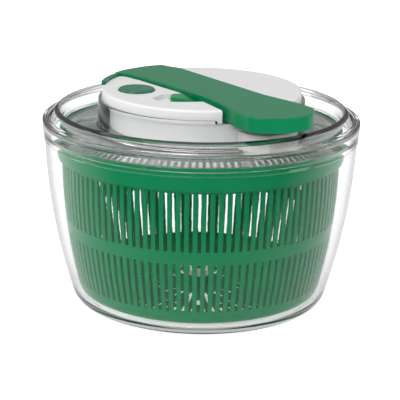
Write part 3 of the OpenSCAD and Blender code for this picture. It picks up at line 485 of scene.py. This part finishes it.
# ---------------------------------------------------------------------------------------------
# Lid. One clear moulding: a skirt inside the bowl's rim, a flange over it, a raised hoop, a flat
# trough, the round housing wall and, in the trough, the faceted box that the lever rests on.
LID_Z, LID_FLOOR, LID_WALL = 134.0, 136.2, 2.2
SKIRT_R, SKIRT_Z, FLANGE_R, TROUGH_R = 115.5, 129.5, 120.0, 102.5
HOUSE_R, HOUSE_IN, HOUSE_TOP, HOUSE_FILLET = 78.0, 75.5, 157.0, 1.6
CREST_R, CREST_Z, SLOPE_R, SLOPE_Z = 107.3, 150.8, 116.2, 143.0
BOX_Z, BOX_OUT, BOX_HALF, BOX_CUT, BOX_START = 149.5, 100.0, 21.0, 9.0, 70.0
LEVER_WAY_Z, TAIL_WAY_Z, CLEAR_TOP = 154.7, 152.9, 170.0
SHOE_HOLE_R, SHOE_X, SHOE_Y = 6.4, -48.7, -12.0
SCREW_HOLE_R, SCREW_CIRCLE_R, SCREW_TURNS = 1.6, 66.0, (55, 118, 232, 308)

# Section of the lid from the hole in its middle: along the underside, then back over the top
lid_section = rounded([
    (5.5, LID_FLOOR, 0), (5.5, LID_Z, 0), (TROUGH_R, LID_Z, 1.5), (TROUGH_R + 2.8, LID_Z + 1.6, 1.2),
    (CREST_R - 0.1, LID_Z + 5, 4), (CREST_R + 1.6, CREST_Z - 3.6, 1.0), (SLOPE_R - 2.2, SLOPE_Z - 1.2, 1.5),
    (SLOPE_R - 2.2, LID_Z + 5, 1), (SKIRT_R - LID_WALL, LID_Z + 3.4, 1), (SKIRT_R - LID_WALL, SKIRT_Z, 0.5),
    (SKIRT_R, SKIRT_Z, 0.5), (SKIRT_R, LID_Z, 0.3), (FLANGE_R - 0.2, LID_Z, 0.5),
    (FLANGE_R, LID_Z + 8, 1.1), (FLANGE_R - 2.7, LID_Z + 8, 0.3), (FLANGE_R - 2.9, LID_Z + 7.4, 0.2),
    (FLANGE_R - 3.5, LID_Z + 7.4, 0.3),
    (SLOPE_R, SLOPE_Z, 2), (CREST_R, CREST_Z, 1.3), (CREST_R - 2.4, LID_FLOOR + 2.4, 3),
    (CREST_R - 3, LID_FLOOR + 0.6, 1), (TROUGH_R, LID_FLOOR, 1.2), (HOUSE_R + 0.1, LID_FLOOR, HOUSE_FILLET),
    (HOUSE_R, HOUSE_TOP, 0.8), (HOUSE_IN, HOUSE_TOP, 0.4), (HOUSE_IN, LID_FLOOR, 0.4)])
lid = turned("clear_lid", lid_section)


def prism(name, outline, low, high, turn=0.0):
    """A solid with an outline of (x, y) in millimetres, from height low to high, turned round Z."""
    bpy.ops.object.select_all(action="DESELECT")
    bpy.ops.mesh.primitive_circle_add(vertices=len(outline), radius=0.1, fill_type="NGON")
    piece = bpy.context.object
    piece.name = name
    for corner, (x, y) in zip(piece.data.vertices, outline):
        corner.co = (x * MM, y * MM, low * MM)
    edit(piece)
    bpy.ops.mesh.select_all(action="SELECT")
    bpy.ops.mesh.extrude_region_move(TRANSFORM_OT_translate={"value": (0, 0, (high - low) * MM)})
    bpy.ops.mesh.select_all(action="SELECT")
    bpy.ops.mesh.normals_make_consistent(inside=False)
    done()
    piece.data.transform(Matrix.Rotation(turn, 4, "Z"))
    return piece


def bevel_edges(piece, wanted, width, segments=3):
    """Bevels the edges for which wanted(a, b) is true, with a and b their ends in millimetres."""
    edit(piece)
    bpy.ops.mesh.select_mode(type="EDGE")
    bpy.ops.object.mode_set(mode="OBJECT")
    points = piece.data.vertices
    for line in piece.data.edges:
        line.select = wanted(points[line.vertices[0]].co / MM, points[line.vertices[1]].co / MM)
    bpy.ops.object.mode_set(mode="EDIT")
    bpy.ops.mesh.bevel(offset=width * MM, segments=segments, affect="EDGES", clamp_overlap=False)
    done()


def combine(piece, tool, how):
    """Cuts, joins or keeps the overlap with a tool, which is used up."""
    apply(piece, "BOOLEAN", object=tool, operation=how, solver="EXACT")
    bpy.data.objects.remove(tool)


def box_outline(thick, start):
    """Outline of the rest box in the lever's direction, made smaller by thick."""
    half, out = BOX_HALF - thick, BOX_OUT - thick
    return [(start, -half), (out - BOX_CUT - 3, -half), (out, BOX_CUT - half), (out, half - BOX_CUT),
            (out - BOX_CUT, half), (start, half)]


def ring(name, radius, low, high, x=0.0, y=0.0, sides=180):
    """A plain round tool standing at (x, y)."""
    bpy.ops.object.select_all(action="DESELECT")
    bpy.ops.mesh.primitive_cylinder_add(vertices=sides, radius=radius * MM, depth=(high - low) * MM)
    piece = bpy.context.object
    piece.name = name
    piece.data.transform(Matrix.Translation(Vector((x, y, (high + low) / 2)) * MM))
    return piece


rest_box = prism("rest_box", box_outline(0, BOX_START), LID_FLOOR - 0.8, BOX_Z, LEVER_TURN)
bevel_edges(rest_box, lambda a, b: min(a.z, b.z) > LID_FLOOR or (a - b).xy.length < 0.01, 0.7)
combine(rest_box, ring("house_core", HOUSE_R - 1.2, 100, CLEAR_TOP), "DIFFERENCE")
hollow = prism("box_hollow", box_outline(LID_WALL, BOX_START + 2), LID_Z - 1, BOX_Z - LID_WALL, LEVER_TURN)
bevel_edges(hollow, lambda a, b: min(a.z, b.z) > LID_FLOOR, 0.5, 2)
combine(hollow, ring("house_edge", HOUSE_R + LID_WALL + 0.4, 100, CLEAR_TOP), "DIFFERENCE")
combine(lid, rest_box, "UNION")
combine(lid, hollow, "DIFFERENCE")

# Ways through the housing wall for the lever and its tail, then the holes in the lid's floor
for name, outline, low in (("lever_way", [(50, -35), (90, -35), (90, 29), (50, 29)], LEVER_WAY_Z),
                           ("tail_way", [(-94, -31), (-72, -31), (-72, 19), (-94, 19)], TAIL_WAY_Z)):
    combine(lid, prism(name, outline, low, CLEAR_TOP, LEVER_TURN), "DIFFERENCE")
combine(lid, ring("shoe_hole", SHOE_HOLE_R, LID_Z - 4, LID_Z + 4, SHOE_X, SHOE_Y, 48), "DIFFERENCE")
for turn in SCREW_TURNS:
    turn = LEVER_TURN + math.radians(turn)
    x, y = SCREW_CIRCLE_R * math.cos(turn), SCREW_CIRCLE_R * math.sin(turn)
    combine(lid, ring("screw_hole", SCREW_HOLE_R, LID_Z - 4, LID_Z + 4, x, y, 24), "DIFFERENCE")
smooth(lid, 32)

# The faces of the rest box have a fine etched skin, which catches the light
lid_plastic = clear("lid_plastic", (0.985, 0.99, 0.988), 0.02, 0.03, 0.93)
box_plastic = clear("box_plastic", (0.88, 0.87, 0.85), 0.25, 0.1, 0.93, through=0.35)
wear(lid, lid_plastic, box_plastic)
for face in lid.data.polygons:
    x, y, z = Matrix.Rotation(-LEVER_TURN, 3, "Z") @ face.center / MM
    inside_box = HOUSE_R + 0.6 < x < BOX_OUT + 0.3 and abs(y) < BOX_HALF + 0.3 and z > LID_FLOOR + 0.6
    face.material_index = 1 if inside_box else 0
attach(lid, "lid")
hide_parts("lid")


# ---------------------------------------------------------------------------------------------
# Lever. A green shell, open underneath, whose free end is wide and round; its satin top and polished
# sides share one finish. Its tail hooks over the cover's edge, and it hinges on lugs under the tail.
LEVER_Z, LEVER_DEPTH, LEVER_WALL = 166.5, 11.0, 2.2
LIP, LIP_IN, LIP_OUT, LIP_START, LIP_TURN, LIP_STEPS = 3.5, 73.5, 76.7, 203, 26, 12
HINGE_S, HINGE_Z, PIN_BORE, LUG_R, LUG_SIDE, LUG_W = -64.0, 160.0, 2.06, 4.0, 8.0, 3.6
LEVER_CORNERS = [
    (-78.8, -0.3, 76), (-75.5, -22.7, 76), (-70.2, -34.2, 1.2), (-61.5, -27.3, 6), (-45, -24.6, 30),
    (-18, -23, 30), (30, -22, 30), (58, -24.5, 30), (86, -31, 16), (107, -31, 14), (119.5, -10, 16),
    (119.5, 12, 16), (104, 25, 16), (84, 25, 20), (52, 20.3, 30), (0, 20, 30), (-58, 20, 6),
    (-70, 15.5, 6), (-76.6, 14.5, 4.5)]


def inset(corners, wall):
    """The corners of an outline moved in by one wall, with their radii to match."""
    points = [Vector(corner[:2]) for corner in corners]
    moved = []
    for i, here in enumerate(points):
        back = (here - points[i - 1]).normalized()
        ahead = (points[(i + 1) % len(points)] - here).normalized()
        inward = (Vector((-back.y, back.x)) + Vector((-ahead.y, ahead.x))).normalized()
        spot = here + inward * wall / inward.dot(Vector((-back.y, back.x)))
        grown = wall if back.cross(ahead) < 0 else -wall
        moved.append((spot.x, spot.y, max(corners[i][2] + grown, 0.4)))
    return moved


def block(name, low, high):
    """A plain box between two corners in millimetres."""
    (x0, y0, z0), (x1, y1, z1) = low, high
    return prism(name, [(x0, y0), (x1, y0), (x1, y1), (x0, y1)], z0, z1)


lever_outline = rounded(LEVER_CORNERS, 10)
low_z, plate_z = LEVER_Z - LEVER_DEPTH, LEVER_Z - LEVER_WALL
lever = prism("lever_shell", lever_outline, low_z, LEVER_Z)
bevel_edges(lever, lambda a, b: min(a.z, b.z) > LEVER_Z - 0.1, 1.0, 4)
bevel_edges(lever, lambda a, b: max(a.z, b.z) < low_z + 0.1, 0.4, 2)
hollow = rounded(inset(LEVER_CORNERS, LEVER_WALL), 8)
combine(lever, prism("lever_hollow", hollow, low_z - 1, plate_z), "DIFFERENCE")
combine(lever, block("tail_cut", (-100, -60, 150), (HINGE_S + 14, 60, LEVER_Z - LIP)), "DIFFERENCE")

# The lip over the cover's edge, the hinge lugs, two cross ribs, the lock's window and the holes
arc = [math.radians(LIP_START + LIP_TURN * i / LIP_STEPS) for i in range(LIP_STEPS + 1)]
lip = [(LIP_IN * math.cos(a), LIP_IN * math.sin(a)) for a in arc]
lip += [(LIP_OUT * math.cos(a), LIP_OUT * math.sin(a)) for a in reversed(arc)]
combine(lever, prism("edge_lip", lip, LEVER_Z - LIP, LEVER_Z - 0.4), "UNION")
for side in (-LUG_SIDE, LUG_SIDE):
    cheek = [(HINGE_S + LUG_R * math.cos(math.radians(a)), HINGE_Z + LUG_R * math.sin(math.radians(a)))
             for a in range(180, 361, 15)]
    cheek = [(HINGE_S - LUG_R, plate_z + 0.3)] + cheek + [(HINGE_S + LUG_R, plate_z + 0.3)]
    lug = prism("hinge_lug", cheek, -LUG_W / 2, LUG_W / 2)
    lug.data.transform(Matrix.Translation(Vector((0, side, 0)) * MM) @ Matrix.Rotation(math.pi / 2, 4, "X"))
    combine(lever, lug, "UNION")
for rib_s in (34, 66):
    rib = block("cross_rib", (rib_s, -19.2, plate_z - 4), (rib_s + 1.6, 18.8, plate_z + 0.3))
    combine(lever, rib, "UNION")
combine(lever, block("lock_window", (7.5, -30, 156.5), (20.5, -18, 160.3)), "DIFFERENCE")
bore = ring("hinge_bore", PIN_BORE, -20, 20, 0, 0, 32)
bore.data.transform(Matrix.Translation(Vector((HINGE_S, 0, HINGE_Z)) * MM)
                    @ Matrix.Rotation(math.pi / 2, 4, "X"))
combine(lever, bore, "DIFFERENCE")
for side in (-4.3, 4.3):
    combine(lever, ring("screw_hole", 1.2, plate_z - 1, plate_z + 1.4, -51, side, 20), "DIFFERENCE")
lever.data.transform(Matrix.Rotation(LEVER_TURN, 4, "Z"))
smooth(lever, 30)
apply(lever, "WEIGHTED_NORMAL", keep_sharp=True)
lever_green = finish_of("lever_green", (0.0, 0.2, 0.075), shade=0.02, gloss=0.22, spread=0.04, grain=0.05,
                        size=1400.0, scratches=0.04, IOR=1.5, Specular_IOR_Level=0.25)
wear(lever, lever_green)
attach(lever, "lever")
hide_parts("lever")


# ---------------------------------------------------------------------------------------------
# Cover and gear tray. Two white mouldings with a fine satin skin: the round cover with the
# lever's channel and the lock's well, and the drum under it that carries the whole gear train.
white_plastic = finish_of("white_plastic", (0.83, 0.83, 0.83), shade=0.01, gloss=0.32, spread=0.05,
                          grain=0.08, size=1600.0, scratches=0.15, IOR=1.5)
for name in ("cover", "gear_tray", "gear_bridge"):
    wear(nodes[name], white_plastic)


# ---------------------------------------------------------------------------------------------
# Brake button and lever lock. Two small green mouldings in the cover: the button is dished with
# a raised rim, and the lock slides in its own well under a fingertip.
press_green = finish_of("press_green", (0.0, 0.15, 0.065), shade=0.03, gloss=0.2, spread=0.05, grain=0.3,
                        size=900.0, scratches=0.15, IOR=1.5)
lock_green = finish_of("lock_green", (0.0, 0.25, 0.07), shade=0.03, gloss=0.25, spread=0.05, grain=0.1,
                       size=1200.0, scratches=0.15, IOR=1.5)
wear(nodes["brake_button"], press_green)
wear(nodes["lock_slider"], lock_green)


# ---------------------------------------------------------------------------------------------
# Gear train, drive plate and bush. Gears, the clutch driver and the bush are pale acetal, which
# has a waxy, slightly translucent look; the drive plate under the lid is a clear plastic.
acetal = finish_of("acetal", (0.72, 0.71, 0.64), shade=0.04, gloss=0.38, spread=0.08, grain=0.12,
                   size=1100.0, scratches=0.3, IOR=1.48, Subsurface_Weight=0.15, Subsurface_Scale=0.001)
for name in ("sector_gear", "drive_pinion", "bevel_pinion", "bevel_gear", "layshaft_wheel",
             "spindle_pinion", "spindle_bush", "clutch_driver", "pivot_bush"):
    wear(nodes[name], acetal)
drive_clear = clear("drive_clear", (0.97, 0.98, 0.975), 0.05, 0.05, 0.93, through=0.93)
wear(nodes["drive_plate"], drive_clear)


# ---------------------------------------------------------------------------------------------
# Shafts, screws, clips and springs. Drawn and rolled steel: shafts are ground bright, screws and
# clips are zinc plated, and the springs keep the duller skin of drawn wire.
ground_steel = finish_of("ground_steel", (0.62, 0.62, 0.63), shade=0.03, gloss=0.18, spread=0.06,
                         grain=0.05, size=2500.0, scratches=0.8, Metallic=1.0)
plated_steel = finish_of("plated_steel", (0.66, 0.67, 0.69), shade=0.06, gloss=0.3, spread=0.12, grain=0.1,
                         size=1800.0, scratches=0.4, Metallic=1.0)
spring_wire = finish_of("spring_wire", (0.42, 0.42, 0.43), shade=0.08, gloss=0.34, spread=0.1, grain=0.15,
                        size=2200.0, scratches=0.6, Metallic=1.0)
STEEL_PIECES = [
    (ground_steel, ("hinge_pin", "cross_shaft", "layshaft", "spindle")),
    (plated_steel, ("bridge_screws", "lid_screws", "sector_screws", "hinge_clips", "plate_washer",
                    "plate_screw")),
    (spring_wire, ("lever_spring", "brake_spring"))]
for made, names in STEEL_PIECES:
    for name in names:
        wear(nodes[name], made)


# ---------------------------------------------------------------------------------------------
# Brake shoe. A plug of black rubber on the button's stem, which rubs on the drive plate.
rubber = finish_of("rubber", (0.03, 0.03, 0.03), shade=0.1, gloss=0.7, spread=0.08, grain=0.5, size=2000.0,
                   scratches=0.3)
wear(nodes["brake_shoe"], rubber)


# ---------------------------------------------------------------------------------------------
# The kept size of the whole model
low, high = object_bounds()
